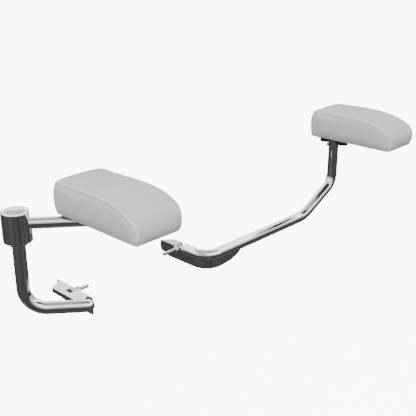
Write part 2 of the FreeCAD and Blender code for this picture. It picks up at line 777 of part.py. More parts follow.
def pad_set(side, x, y, knob_offset, plate_near, plate_far):
    """One pad with its board, foam, cover, plate, tee nuts and knobs, centred on its mount."""
    name = side.capitalize()
    corner = (x, f"{y} - dims.{side}_pad_rear", "dims.pad_base")
    outside = place(pad_block(name + "PadOutside", "0"), corner)
    hollow = place(pad_block(name + "PadHollow", "dims.cover_gauge"), corner)
    filling = place(pad_block(name + "PadFilling", "(dims.cover_gauge + dims.lining_gap)"), corner)
    spots = [(f"{x} + {knob_offset}", f"{y} + {sign} * dims.knob_pitch / 2") for sign in (-1, 1)]

    def pair(label, radius, base, top):
        return [
            cylinder(f"{name}{label}{number}", radius, f"{top} - {base}", (*spot, base))
            for number, spot in enumerate(spots)
        ]

    cover_holes = pair("CoverHole", "dims.stud_radius + 0.6", "(dims.pad_base - 2)", "dims.stud_top")
    keep(cut(name + "PadCover", outside, [hollow, *cover_holes]), f"{side}_pad_cover")
    slab_corner = (f"{x} - dims.pad_width", f"{y} - dims.pad_width", "dims.pad_base")
    slab_size = ("2 * dims.pad_width", "dims.pad_length + dims.pad_width", f"{BOARD_TOP} - dims.pad_base")
    slab = block(name + "Slab", *slab_size, slab_corner)
    board_size = ("dims.pad_width - 2 * dims.board_inset", "dims.pad_length - 2 * dims.board_inset")
    board_corner = (
        f"{x} - dims.pad_width / 2 + dims.board_inset",
        f"{y} - dims.{side}_pad_rear + dims.board_inset",
        BOARD_BASE,
    )
    board = block(name + "BoardBlank", *board_size, "dims.board_gauge", board_corner)
    board_holes = pair("BoardHole", "dims.tee_barrel + 0.1", "dims.pad_base", f"({BOARD_TOP} + 2)")
    keep(cut(name + "PadBoard", board, board_holes), f"{side}_pad_board")
    pockets = pair("FoamPocket", "dims.tee_flange + 0.3", BOARD_BASE, f"({BOARD_TOP} + dims.tee_gauge + 0.4)")
    keep(cut(name + "PadFoam", filling, [slab, *pockets]), f"{side}_pad_foam")
    barrels = pair("TeeBarrel", "dims.tee_barrel", f"({BOARD_BASE} + 2)", BOARD_TOP)
    flanges = pair("TeeFlange", "dims.tee_flange", BOARD_TOP, f"({BOARD_TOP} + dims.tee_gauge)")
    tee_blank = fuse(name + "TeeBlank", barrels + flanges)
    tee_holes = pair("TeeHole", "dims.stud_radius + dims.fit_gap", BOARD_BASE, f"({BOARD_TOP} + 2)")
    keep(cut(name + "TeeNuts", tee_blank, tee_holes), f"{side}_pad_tee_nuts")
    plate_width = f"{plate_far} - {plate_near}"
    plate_gauge = "dims.plate_top - dims.plate_base"
    plate_corner = (f"{x} + {plate_near}", f"{y} - dims.pad_plate_length / 2", "dims.plate_base")
    blank = block(name + "PlateBlank", plate_width, "dims.pad_plate_length", plate_gauge, plate_corner)
    plate_holes = pair("PlateHole", "dims.stud_radius + 0.3", "dims.plate_base", "dims.pad_base")
    keep(cut(name + "PadPlate", blank, plate_holes), f"{side}_pad_plate")
    grips = pair("KnobGrip", "dims.knob_radius", "dims.knob_base", "dims.knob_top")
    necks = pair("KnobNeck", "dims.knob_neck", "dims.knob_top", "dims.plate_base")
    studs = pair("KnobStud", "dims.stud_radius", "dims.plate_base", "dims.stud_top")
    keep(fuse(name + "Knobs", grips + necks + studs), f"{side}_pad_knobs")


pad_set("right", ARM_END_X, ARM_END_Y, "(-1 * dims.right_knob_offset)", "-38", "16")
pad_set("left", LEFT_POST, "dims.left_run", "0", "-20", "20")

# --- Checks and export ------------------------------------------------------------------------------

doc.recompute()
faults = [item.Name for item in doc.Objects if {"Invalid", "Error"} & set(item.State)]
for item in subparts:
    shape = item.Shape
    if shape.isNull() or not shape.isValid() or not shape.Solids:
        faults.append(item.Label)
    blank = getattr(item, "Base", None)
    if isinstance(blank, FreeCAD.DocumentObject) and shape.Volume >= blank.Shape.Volume:
        faults.append(item.Label + " was not cut")
if faults:
    raise SystemExit(f"not built: {faults}")
for item in subparts:
    item.Shape.exportStep(f"parts/{item.Label}.step")
    box = item.Shape.BoundBox
    corners = [round(value, 1) for value in (box.XMin, box.XMax, box.YMin, box.YMax, box.ZMin, box.ZMax)]
    print(f"{item.Label:22} {len(item.Shape.Solids)} solid(s) {item.Shape.Volume:10.0f} mm3  {corners}")
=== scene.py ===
# %% [markdown]
# # Arm supports of a treatment chair
#
# Two padded arm supports, each on a bent chromed tube that bolts to the side of a chair.
# The steel parts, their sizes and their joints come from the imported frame. This lesson adds the
# looks: the upholstered pads, the finer hardware, and the finish of every surface. Each step first
# says what the piece is on the real object and why it is made the way that it is.

import json
import math

import bmesh
import bpy
import numpy as np
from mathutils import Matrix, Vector
from mathutils.bvhtree import BVHTree


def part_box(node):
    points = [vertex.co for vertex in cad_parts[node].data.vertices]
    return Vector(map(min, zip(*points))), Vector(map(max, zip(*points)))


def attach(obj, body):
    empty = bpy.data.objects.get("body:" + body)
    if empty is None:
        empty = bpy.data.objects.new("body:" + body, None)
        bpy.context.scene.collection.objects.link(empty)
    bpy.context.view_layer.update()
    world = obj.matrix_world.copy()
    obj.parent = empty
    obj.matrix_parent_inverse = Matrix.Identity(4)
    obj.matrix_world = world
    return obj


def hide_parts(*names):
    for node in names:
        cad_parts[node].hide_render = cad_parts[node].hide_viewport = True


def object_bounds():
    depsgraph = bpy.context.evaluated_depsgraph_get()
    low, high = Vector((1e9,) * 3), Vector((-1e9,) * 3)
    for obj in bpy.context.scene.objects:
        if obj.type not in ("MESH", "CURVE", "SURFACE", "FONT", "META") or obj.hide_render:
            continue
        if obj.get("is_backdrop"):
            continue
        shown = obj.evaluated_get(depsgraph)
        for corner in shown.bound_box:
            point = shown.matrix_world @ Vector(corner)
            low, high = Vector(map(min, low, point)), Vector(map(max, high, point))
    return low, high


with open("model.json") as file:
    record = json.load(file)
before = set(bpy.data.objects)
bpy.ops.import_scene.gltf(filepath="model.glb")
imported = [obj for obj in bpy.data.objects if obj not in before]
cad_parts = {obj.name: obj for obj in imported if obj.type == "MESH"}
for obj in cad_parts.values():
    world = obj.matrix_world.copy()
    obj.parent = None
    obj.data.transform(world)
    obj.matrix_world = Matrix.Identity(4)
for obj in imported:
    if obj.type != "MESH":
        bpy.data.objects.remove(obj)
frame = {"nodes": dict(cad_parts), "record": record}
cad_low, cad_high = [[float(value) for value in corner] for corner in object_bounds()]
nodes = frame["nodes"]
MM = 0.001

# %% [markdown]
# ## Camera
#
# The object is seen from the front and the sitter's right, a little from above, with a fairly long
# lens. A long lens stands far back, so the near arm isn't much larger than the far one. The place is
# given by a heading and a pitch, which are easier to read than a rotation matrix.

# %% Camera
SENSOR_MM = 36.0
CAMERA_PLACE = (0.753, 1.091, 0.675)
CAMERA_HEADING = 133.7
CAMERA_PITCH = 20.9
CAMERA_LENS_MM = 61.9

camera_data = bpy.data.cameras.new("camera")
camera_data.sensor_width = SENSOR_MM
camera_data.lens = CAMERA_LENS_MM
camera_data.clip_start = 0.05
camera_data.clip_end = 60.0
camera = bpy.data.objects.new("camera", camera_data)
camera.location = CAMERA_PLACE
camera.rotation_euler = (math.radians(90.0 - CAMERA_PITCH), 0.0, math.radians(CAMERA_HEADING))
bpy.context.scene.collection.objects.link(camera)
bpy.context.scene.camera = camera
print("camera at", CAMERA_PLACE)

# %% [markdown]
# ## Shader maths as Python
#
# A material is a graph of small sums. Written as nodes it is long, so one class wraps a socket and
# lets Python's own operators add the Math nodes. Every other node comes from one method, `add`,
# which sets the node's settings first and then its sockets.

# %% A socket that can be added and multiplied


class Wire:
    """A node's output. Its operators add Math nodes to the same material."""

    def __init__(self, finish, socket):
        self.finish = finish
        self.socket = socket

    def _sum(self, operation, first, second):
        return self.finish.add("ShaderNodeMath", {"operation": operation}, {0: first, 1: second})

    def __add__(self, other):
        return self._sum("ADD", self, other)

    def __radd__(self, other):
        return self._sum("ADD", other, self)

    def __sub__(self, other):
        return self._sum("SUBTRACT", self, other)

    def __rsub__(self, other):
        return self._sum("SUBTRACT", other, self)

    def __mul__(self, other):
        return self._sum("MULTIPLY", self, other)

    def __rmul__(self, other):
        return self._sum("MULTIPLY", other, self)


class Finish:
    """A material being built around its Principled shader."""

    def __init__(self, name, **constants):
        self.material = bpy.data.materials.new(name)
        self.material.use_nodes = True
        self.tree = self.material.node_tree
        self.shader = self.tree.nodes["Principled BSDF"]
        for socket, value in constants.items():
            self.shader.inputs[socket.replace("_", " ")].default_value = value

    def add(self, kind, settings=None, inputs=None, output=0):
        """Adds a node: its settings first, then a value or a Wire for each named input."""
        node = self.tree.nodes.new(kind)
        for name, value in (settings or {}).items():
            setattr(node, name, value)
        for key, value in (inputs or {}).items():
            self._feed(node.inputs[key], value)
        return Wire(self, node.outputs[output])

    def _feed(self, socket, value):
        """Links a Wire to a socket, or sets the socket's own value."""
        if isinstance(value, Wire):
            self.tree.links.new(value.socket, socket)
        else:
            socket.default_value = value

    def noise(self, scale, detail=3.0, roughness=0.5, where=None, distortion=0.0):
        """Smooth random values between 0 and 1, about one blob to each 1/scale of a metre."""
        inputs = {"Vector": where or self.position(), "Scale": scale, "Detail": detail}
        inputs |= {"Roughness": roughness, "Distortion": distortion}
        return self.add("ShaderNodeTexNoise", {}, inputs)

    def position(self, stretch=None):
        """The point on the piece in metres, or the point with each axis scaled."""
        found = self.add("ShaderNodeTexCoord", output=3)
        if stretch:
            found = self.add("ShaderNodeMapping", {}, {"Vector": found, "Scale": stretch})
        return found

    def remap(self, value, low, high, to_low, to_high):
        """Takes low..high to to_low..to_high, and holds the ends."""
        return self.add(
            "ShaderNodeMapRange",
            {"clamp": True},
            {"Value": value, "From Min": low, "From Max": high, "To Min": to_low, "To Max": to_high},
        )

    def blend(self, factor, first, second):
        """A colour between two colours."""
        return self.add(
            "ShaderNodeMix", {"data_type": "RGBA"}, {"Factor": factor, 6: first, 7: second}, output=2
        )

    def paint(self, socket, value):
        """Feeds a value or a Wire to a named socket of the Principled shader."""
        self._feed(self.shader.inputs[socket], value)

    def bump(self, height, depth):
        """Feeds a height of 0 to 1, worth depth in metres, to the shader's normal."""
        self.paint("Normal", self.add("ShaderNodeBump", {}, {"Height": height, "Distance": depth}))


def grey(level, warmth=0.0):
    """A near-neutral colour; warmth adds a share of red and takes it from blue."""
    return (level * (1 + warmth), level, level * (1 - warmth), 1.0)


# %% [markdown]
# ## Metal finishes
#
# Chrome plating is a perfect mirror with a touch of blue-grey. What makes it look real is what it
# reflects, and the faint haze and fine polishing lines that break the mirror up. The sheet steel of
# the brackets is plated too, but over rolled metal, so it is duller and carries a grain. The hub
# inside the cup isn't polished at all.

# %% Chrome


def chrome_finish():
    """Polished chrome: haze varies over centimetres, and hairlines run round the tube."""
    finish = Finish("chromed_steel", Metallic=1.0, IOR=2.5)
    haze = finish.noise(38.0, detail=2.0)
    smear = finish.noise(9.0, detail=4.0, roughness=0.62)
    lines = finish.noise(900.0, detail=2.0, where=finish.position((0.35, 0.35, 1.0)))
    finish.paint("Base Color", finish.blend(smear, (0.80, 0.81, 0.825, 1.0), (0.89, 0.895, 0.905, 1.0)))
    finish.paint("Roughness", finish.remap(haze * 0.6 + smear * 0.4, 0.35, 0.7, 0.035, 0.10))
    finish.bump(lines, 0.000004)
    return finish.material


def hub_face_finish():
    """The hub's blasted steel: a fine speckle, between dark and mid grey."""
    finish = Finish("blasted_hub_face", Metallic=1.0)
    speckle = finish.noise(900.0, detail=3.0, roughness=0.7)
    cloud = finish.noise(120.0, detail=3.0)
    mix = finish.remap(speckle * 0.65 + cloud * 0.35, 0.36, 0.64, 0.0, 1.0)
    finish.paint("Base Color", finish.blend(mix, grey(0.20), grey(0.56)))
    finish.paint("Roughness", finish.remap(mix, 0.0, 1.0, 0.55, 0.30))
    finish.bump(speckle, 0.0001)
    return finish.material


def sheet_steel_finish():
    """Bright plated sheet: a rolled grain along Y, cloudy patches, and a few darker spots."""
    finish = Finish("bracket_steel", Metallic=1.0)
    cloud = finish.noise(55.0, detail=5.0, roughness=0.6)
    grain = finish.noise(420.0, detail=3.0, where=finish.position((1.0, 0.06, 1.0)))
    spots = finish.remap(finish.noise(260.0, detail=1.0), 0.66, 0.74, 0.0, 1.0)
    base = finish.blend(cloud, (0.66, 0.67, 0.685, 1.0), (0.80, 0.805, 0.81, 1.0))
    finish.paint("Base Color", finish.blend(spots * 0.35, base, grey(0.42)))
    finish.paint("Roughness", finish.remap(cloud * 0.6 + grain * 0.4, 0.3, 0.7, 0.10, 0.24))
    finish.bump(grain, 0.000004)
    return finish.material


def zinc_finish():
    """Zinc plating on fasteners: small crystal patches of slightly different shine."""
    finish = Finish("zinc_plated_steel", Metallic=1.0)
    crystals = finish.add(
        "ShaderNodeTexVoronoi", {"feature": "F1"}, {"Vector": finish.position(), "Scale": 700.0}
    )
    wash = finish.noise(160.0, detail=4.0)
    finish.paint("Base Color", finish.blend(wash, (0.62, 0.63, 0.645, 1.0), (0.80, 0.80, 0.79, 1.0)))
    finish.paint("Roughness", finish.remap(crystals + wash * 0.4, 0.1, 0.9, 0.18, 0.36))
    finish.bump(wash, 0.00001)
    return finish.material


def bronze_finish():
    """Sintered bronze: warm and dull, with open pores."""
    finish = Finish("bronze", Metallic=1.0)
    pores = finish.remap(finish.noise(2400.0, detail=1.0), 0.6, 0.7, 0.0, 1.0)
    tint = finish.blend(finish.noise(90.0), (0.60, 0.40, 0.18, 1.0), (0.72, 0.52, 0.28, 1.0))
    finish.paint("Base Color", finish.blend(pores, tint, (0.2, 0.13, 0.06, 1.0)))
    finish.paint("Roughness", finish.remap(pores, 0.0, 1.0, 0.36, 0.6))
    finish.bump(1 - pores, 0.00003)
    return finish.material


# %% [markdown]
# ## Plastics, wood and foam
#
# The knobs and plugs are moulded with a fine spark texture, and the sleeve in the cup is turned from
# white nylon, so its face carries the rings of the tool. The board and foam are inside the pads and
# show only if a cover is taken off, but they get their own finish too.

# %% Plastics


def black_plastic_finish():
    """Moulded black plastic with a fine spark texture and a worn, slightly greyer bloom."""
    finish = Finish("black_plastic", Specular_IOR_Level=0.42)
    bloom = finish.noise(70.0, detail=4.0)
    pits = finish.noise(2600.0, detail=2.0)
    finish.paint("Base Color", finish.blend(bloom, grey(0.012), grey(0.030)))
    finish.paint("Roughness", finish.remap(bloom * 0.5 + pits * 0.5, 0.3, 0.7, 0.34, 0.52))
    finish.bump(pits, 0.00004)
    return finish.material


def nylon_finish():
    """Turned white nylon: a waxy white with faint rings about the post's axis."""
    finish = Finish("white_nylon", Specular_IOR_Level=0.45, Subsurface_Weight=0.15, Subsurface_Scale=0.004)
    cloud = finish.noise(60.0)
    rings = finish.noise(1500.0, detail=1.0, where=finish.position((0.02, 0.02, 1.0)))
    finish.paint("Base Color", finish.blend(cloud, grey(0.88, 0.004), grey(0.94, 0.006)))
    finish.paint("Roughness", finish.remap(cloud, 0.3, 0.7, 0.34, 0.46))
    finish.bump(rings, 0.00001)
    return finish.material


# %% Plywood and foam


def plywood_finish():
    """Birch plywood: grain along Y, and thin plies that alternate up the edge."""
    finish = Finish("plywood", Specular_IOR_Level=0.3)
    grain = finish.noise(300.0, detail=5.0, where=finish.position((1.0, 0.06, 1.0)), distortion=0.4)
    plies = finish.add(
        "ShaderNodeTexWave",
        {"bands_direction": "Z"},
        {"Vector": finish.position(), "Scale": 210.0, "Distortion": 0.6},
        output=1,
    )
    wood = finish.blend(grain, (0.58, 0.40, 0.22, 1.0), (0.78, 0.61, 0.40, 1.0))
    finish.paint("Base Color", finish.blend(plies * 0.35, wood, (0.42, 0.27, 0.14, 1.0)))
    finish.paint("Roughness", finish.remap(grain, 0.3, 0.7, 0.5, 0.68))
    finish.bump(grain, 0.00008)
    return finish.material


def foam_finish():
    """Upholstery foam: open cells about a millimetre across."""
    finish = Finish("foam", Roughness=0.95, Specular_IOR_Level=0.1)
    cells = finish.add("ShaderNodeTexVoronoi", {}, {"Vector": finish.position(), "Scale": 950.0})
    finish.paint("Base Color", finish.blend(cells, (0.62, 0.58, 0.44, 1.0), (0.86, 0.82, 0.68, 1.0)))
    finish.bump(cells, 0.0004)
    return finish.material


FINISHES = {
    "chromed_steel": chrome_finish(),
    "bracket_steel": sheet_steel_finish(),
    "zinc_plated_steel": zinc_finish(),
    "bronze": bronze_finish(),
    "black_plastic": black_plastic_finish(),
    "white_nylon": nylon_finish(),
    "plywood": plywood_finish(),
    "foam": foam_finish(),
}
print("finishes", sorted(FINISHES))

# %% [markdown]
# ## Upholstery vinyl
#
# The pads are covered in smooth light grey vinyl. Its grain is a net of tiny creases under a
# millimetre apart, and larger soft patches catch the light where the foam beneath is uneven. Cloth
# puckers beside a seam, so the distance to the seam is stored on the mesh as an attribute named
# `seam`, in metres, and the finish reads it.

# %% Vinyl


def vinyl_finish():
    """Light grey vinyl: cellular grain, soft patches, puckers beside the seams and a painted highlight along
    the seam's crest.
    """
    finish = Finish("grey_vinyl", Specular_IOR_Level=0.36, Sheen_Weight=0.06, Sheen_Roughness=0.5)
    seam = finish.add("ShaderNodeAttribute", {"attribute_name": "seam"}, output=2)
    beside = finish.remap(seam, 0.0008, 0.007, 1.0, 0.0)
    mesh = {"Vector": finish.position(), "Scale": 1250.0}
    cells = finish.add("ShaderNodeTexVoronoi", {"feature": "DISTANCE_TO_EDGE"}, mesh)
    creases = finish.remap(cells, 0.0, 0.12, 0.0, 1.0)
    patch = finish.noise(26.0, detail=3.0)
    pucker = finish.noise(150.0, detail=2.0)
    base = finish.blend(patch, grey(0.405, 0.003), grey(0.455, 0.003))
    # Painted highlight: the colour is lightened within about 3 mm of the seam, where the ridge would catch
    # the light.
    crest_highlight = finish.remap(seam, 0.0004, 0.0028, 0.85, 0.0)
    # Darker in blotches beside the seam, following the puckers.
    darker_in_puckers = finish.blend(beside * pucker * 0.15, base, grey(0.33))
    # The painted highlight along the seam is blended in here.
    seam_highlighted = finish.blend(crest_highlight, darker_in_puckers, grey(0.60))
    finish.paint("Base Color", finish.blend((1 - creases) * 0.10, seam_highlighted, grey(0.30)))
    finish.paint("Roughness", finish.remap(patch * 0.5 + creases * 0.5, 0.2, 0.9, 0.56, 0.44))
    finish.bump(creases * 0.16 + patch * 0.6 + beside * pucker * 0.8, 0.00035)
    return finish.material


FINISHES["grey_vinyl"] = vinyl_finish()

# %% [markdown]
# ## A finish for every steel and plastic piece of the frame
#
# The record gives each node a material slot, so one short loop dresses the whole frame. The hub is
# the one exception: its slot is steel, but it is given the blasted finish all over.

# %% Dress the frame
for part in frame["record"]["subparts"]:
    shown = nodes[part["node"]]
    shown.data.materials.clear()
    shown.data.materials.append(FINISHES[part["material_slot"]])
nodes["arm_hub"].data.materials[0] = hub_face_finish()

# %% [markdown]
# ## Surfaces from grids
#
# Most new pieces are one rectangular grid of points: rows along the piece and columns round it.
# `skin` turns such a grid into a closed mesh. The columns always join up, and each end row is
# closed with a fan to its own middle, unless the rows join up as well, as on a ring.

# %% Grid to mesh


def make_object(name, points, faces, material):
    """A smooth-shaded mesh object at the origin, with its normals facing out."""
    mesh = bpy.data.meshes.new(name)
    mesh.from_pydata(points.tolist(), [], faces)
    work = bmesh.new()
    work.from_mesh(mesh)
    bmesh.ops.recalc_face_normals(work, faces=work.faces[:])
    work.to_mesh(mesh)
    work.free()
    mesh.polygons.foreach_set("use_smooth", np.ones(len(mesh.polygons), bool))
    mesh.materials.append(material)
    item = bpy.data.objects.new(name, mesh)
    bpy.context.scene.collection.objects.link(item)
    return item


def grid_faces(rows, columns, rows_join=False):
    """Quads of a grid whose columns join up; rows_join also joins the last row to the first."""
    last = rows if rows_join else rows - 1
    row, column = np.meshgrid(np.arange(last), np.arange(columns), indexing="ij")
    below = (row + 1) % rows
    beside = (column + 1) % columns
    corners = [(row, column), (below, column), (below, beside), (row, beside)]
    numbers = [corner_row * columns + corner_column for corner_row, corner_column in corners]
    return np.stack(numbers, -1).reshape(-1, 4).tolist()


def skin(grid, rows_join=False):
    """Points and faces of a closed surface from a grid of shape (rows, columns, 3)."""
    rows, columns, _ = grid.shape
    points = grid.reshape(-1, 3)
    faces = grid_faces(rows, columns, rows_join)
    if rows_join:
        return points, faces
    ends = np.stack([grid[0].mean(0), grid[-1].mean(0)])
    column = np.arange(columns)
    beside = (column + 1) % columns
    top = np.stack([np.full(columns, rows * columns), column, beside], -1)
    foot = (rows - 1) * columns
    bottom = np.stack([np.full(columns, rows * columns + 1), foot + beside, foot + column], -1)
    return np.vstack([points, ends]), faces + top.tolist() + bottom.tolist()


def join_parts(parts):
    """Stacks several (points, faces) into one."""
    points, faces, first = [], [], 0
    for part_points, part_faces in parts:
        points.append(part_points)
        faces += [[corner + first for corner in face] for face in part_faces]
        first += len(part_points)
    return np.vstack(points), faces


def crisp(item, degrees=30.0):
    """Marks edges that turn more than an angle as sharp, so that flats stay flat."""
    item.data.set_sharp_from_angle(angle=math.radians(degrees))
    return item


# %% [markdown]
# ## The pad's form
#
# An arm pad is a board with a block of foam glued on and vinyl pulled over both. Seen from the side
# it is a box whose top rolls down over the front in one long curve, so its side outline is a closed
# loop of four elliptical corners, each with its own reach along and up. In plan it is a
# superellipse, nearly a rectangle with soft corners. The side loop is carried across the width, and
# near each side it is pulled in along a quarter circle, which rounds the long edges.

# %% Sizes of a pad, from the frame
pad_boxes = {}
for side in ("right", "left"):
    pad_boxes[side] = [np.array(corner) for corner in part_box(f"{side}_pad_cover")]
PAD_WIDTH, PAD_LENGTH, _ = pad_boxes["right"][1] - pad_boxes["right"][0]
PAD_HEIGHT = 0.072
print("pad", np.round(np.array([PAD_WIDTH, PAD_LENGTH, PAD_HEIGHT]) / MM, 1), "mm")

# Corner reaches as (along, up), in metres: rear base, front base, front top, rear top.
CORNERS = [(14 * MM, 27 * MM), (17 * MM, 21 * MM), (112 * MM, 50 * MM), (22 * MM, 34 * MM)]
CORNER_POWER = 2.2
SIDE_ROUND = 12 * MM
PLAN_POWER_FRONT = 11.0
PLAN_POWER_REAR = 16.0
CROWN = 2.0 * MM
SIDE_BULGE = 0.05
TOP_BOW = 3.5 * MM
LOOP_POINTS = 150
ARC_POINTS = 40
FLAT_ROWS = 30
TURN_ROWS = 8
PANEL_ROWS = 14


def pad_foot(low, high):
    """The middle of the rear edge of a pad's base, from the pad's box. A pad is shaped about it."""
    return np.array([(low[0] + high[0]) / 2, low[1], low[2]])


def side_loop(count):
    """The side outline as count even points of (y, z), and their outward normals.

    Each corner is a quarter of a superellipse; walking the closed loop at even steps spreads the
    points over the straight stretches too.
    """
    extent = np.array([PAD_LENGTH, PAD_HEIGHT])
    directions = np.array([(-1, -1), (1, -1), (1, 1), (-1, 1)])
    arcs = []
    for number, (reach, toward) in enumerate(zip(np.array(CORNERS), directions)):
        centre = extent * (toward > 0) - toward * reach
        angle = math.radians(180 + 90 * number) + np.linspace(0, math.pi / 2, ARC_POINTS)
        round_trip = np.stack([np.cos(angle), np.sin(angle)], -1)
        arcs.append(centre + np.sign(round_trip) * abs(round_trip) ** (2 / CORNER_POWER) * reach)
    loop = np.vstack(arcs)
    closed = np.vstack([loop, loop[:1]])
    walked = np.r_[0, np.cumsum(np.linalg.norm(np.diff(closed, axis=0), axis=1))]
    even = np.linspace(0, walked[-1], count, endpoint=False)
    spots = np.stack([np.interp(even, walked, closed[:, axis]) for axis in (0, 1)], -1)
    ahead = np.roll(spots, -1, 0) - np.roll(spots, 1, 0)
    normals = np.stack([ahead[:, 1], -ahead[:, 0]], -1)
    return spots, normals / np.linalg.norm(normals, axis=1, keepdims=True)


def half_width(y):
    """Half of the pad's width at y: (1 - share ** power) ** (1 / power) of the full half width, where
    share is the distance from mid-length over half the length."""
    share = np.clip(abs(2 * y / PAD_LENGTH - 1), 0, 0.9999)
    power = np.where(y > PAD_LENGTH / 2, PLAN_POWER_FRONT, PLAN_POWER_REAR)
    return PAD_WIDTH / 2 * (1 - share ** power) ** (1 / power)


def pad_form(inset):
    """The whole pad as a grid: columns follow the side loop, rows cross from side to side.

    The top is crowned across and bowed along its length, each by 1 - share ** 2.

    Over the last SIDE_ROUND of the half width the loop is pulled in by
    round * (1 - sqrt(1 - t * t)), with t from 0 to 1; then rows on the side panel shrink it towards
    its middle. At the end the form is set in by a distance all round but at its base.
    """
    loop, normals = side_loop(LOOP_POINTS)
    middle = np.array([PAD_LENGTH, PAD_HEIGHT]) / 2
    flat = 1 - 2 * SIDE_ROUND / PAD_WIDTH
    turn = np.linspace(0, math.pi / 2, TURN_ROWS + 1)[1:]
    across = [(place, 0.0, 1.0) for place in np.linspace(-flat, flat, FLAT_ROWS)]
    edge = [(flat + (1 - flat) * math.sin(angle), SIDE_ROUND * (1 - math.cos(angle)), 1.0) for angle in turn]
    edge += [(1.0, SIDE_ROUND, share) for share in np.linspace(0.94, 0.04, PANEL_ROWS)]
    mirrored = [(-place, pull, share) for place, pull, share in reversed(edge)]
    rows = []
    for place, pull, share in mirrored + across + edge:
        ring = middle + (loop - normals * pull - middle) * share
        level = ring[:, 1] / PAD_HEIGHT * 2 - 1
        x = place * half_width(ring[:, 0]) * (1 - SIDE_BULGE * level ** 2)
        along = 2 * ring[:, 0] / PAD_LENGTH - 1
        crown = (CROWN * (1 - place ** 2) + TOP_BOW * (1 - along ** 2) - TOP_BOW / 2) * np.clip(level, 0, 1)
        rows.append(np.stack([x, ring[:, 0], ring[:, 1] + crown], -1))
    grid = np.array(rows)
    foot = np.array([0.0, PAD_LENGTH / 2, 0.0])
    size = np.array([PAD_WIDTH / 2, PAD_LENGTH / 2, PAD_HEIGHT])
    return foot + (grid - foot) * (1 - inset / size)


# %% [markdown]
# ## Stuffing the pad
#
# Vinyl over foam is under tension, so it swells a little between its edges. A cloth simulation with
# air pressure does that better than a formula. The form is remeshed into even small faces, its
# underside is pinned where the real one is stapled to the board, and pressure blows it up for twenty
# frames. No point may move further than a cap, and the underside is pressed flat at the end. Both
# pads come from one mould, so one is stuffed and the other is its copy.

# %% Stuff one pad
VOXEL = 4.5 * MM
SWELL_CAP = 2.2 * MM
START_SMALLER = 1.5 * MM
PINNED_BELOW = 4.0 * MM
CLOTH_FRAMES = 20
CLOTH_PRESSURE = 4.0
CLOTH_TENSION = 40.0
CLOTH_BENDING = 4.0


def read_points(mesh):
    """A mesh's points as an array of shape (points, 3)."""
    points = np.empty(len(mesh.vertices) * 3)
    mesh.vertices.foreach_get("co", points)
    return points.reshape(-1, 3)


def write_points(mesh, points):
    """Gives a mesh new places for its points."""
    mesh.vertices.foreach_set("co", np.asarray(points, float).ravel())
    mesh.update()


def apply_all(item):
    """Replaces an object's mesh with what its modifiers make of it."""
    graph = bpy.context.evaluated_depsgraph_get()
    graph.update()
    done = bpy.data.meshes.new_from_object(item.evaluated_get(graph))
    item.modifiers.clear()
    old = item.data
    item.data = done
    bpy.data.meshes.remove(old)


def stuff(item):
    """Blows the pad up as cloth, with its underside pinned and every move capped."""
    remesh = item.modifiers.new("even", "REMESH")
    remesh.mode = "VOXEL"
    remesh.voxel_size = VOXEL
    apply_all(item)
    start = read_points(item.data)
    pinned = np.flatnonzero(start[:, 2] < PINNED_BELOW)
    pins = item.vertex_groups.new(name="stapled")
    pins.add(pinned.tolist(), 1.0, "REPLACE")
    cloth = item.modifiers.new("cloth", "CLOTH")
    cloth.settings.use_pressure = True
    cloth.settings.uniform_pressure_force = CLOTH_PRESSURE
    cloth.settings.vertex_group_mass = "stapled"
    cloth.settings.effector_weights.gravity = 0.0
    cloth.settings.tension_stiffness = CLOTH_TENSION
    cloth.settings.bending_stiffness = CLOTH_BENDING
    scene = bpy.context.scene
    for number in range(1, CLOTH_FRAMES + 1):
        scene.frame_set(number)
    graph = bpy.context.evaluated_depsgraph_get()
    swollen = bpy.data.meshes.new_from_object(item.evaluated_get(graph))
    moved = read_points(swollen) - start
    scene.frame_set(1)
    bpy.data.meshes.remove(swollen)
    item.modifiers.clear()
    item.vertex_groups.clear()
    far = np.linalg.norm(moved, axis=1, keepdims=True)
    moved *= np.minimum(1.0, SWELL_CAP / np.maximum(far, 1e-9))
    write_points(item.data, start + moved)
    print(f"stuffed: mean move {far.mean() / MM:.2f} mm, most {far.max() / MM:.2f} mm, {len(start)} points")


UNDERSIDE_BELOW = 8.0 * MM
STAPLED_LEVEL = 0.2 * MM
STAPLE_FADE = 7.0 * MM


def staple(item):
    """Presses the underside flat under the board.

    A low point keeps the share t * t * (3 - 2 t) of its height over the stapled level, where t is its
    distance outside the board's outline over STAPLE_FADE, held between 0 and 1.
    """
    foot = pad_foot(*pad_boxes["right"])
    board_low, board_high = [np.array(corner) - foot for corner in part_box("right_pad_board")]
    points = read_points(item.data)
    plan = points[:, :2]
    outside = np.maximum(board_low[:2] - plan, plan - board_high[:2]).max(1)
    t = np.clip(outside / STAPLE_FADE, 0, 1)
    t = np.where(points[:, 2] < UNDERSIDE_BELOW, t, 1.0)
    points[:, 2] = STAPLED_LEVEL + (points[:, 2] - STAPLED_LEVEL) * t * t * (3 - 2 * t)
    write_points(item.data, points)


pad_master = make_object("pad_master", *skin(pad_form(START_SMALLER)), FINISHES["grey_vinyl"])
stuff(pad_master)
smooth = pad_master.modifiers.new("smooth", "SUBSURF")
smooth.levels = smooth.render_levels = 1
apply_all(pad_master)
staple(pad_master)
print("pad points", len(pad_master.data.vertices))

# %% [markdown]
# ## The sewn seam
#
# The top and front are one panel. The sides and the rear are another, sewn to it round the top
# edges. The seam allowance lies under the vinyl beside the seam and lifts it in a soft ridge, with a
# narrow groove at the stitch line. The seam's line is worked out on the side loop, dropped onto the
# stuffed surface, and the nearby points are then raised and sunk by their distance to it.

# %% Seam line
SEAM_INSET = 4.0 * MM
SEAM_SIDE_POINTS = 220
SEAM_REAR_POINTS = 60
SEAM_LOOP_POINTS = 600
BLOCK_POINTS = 2000


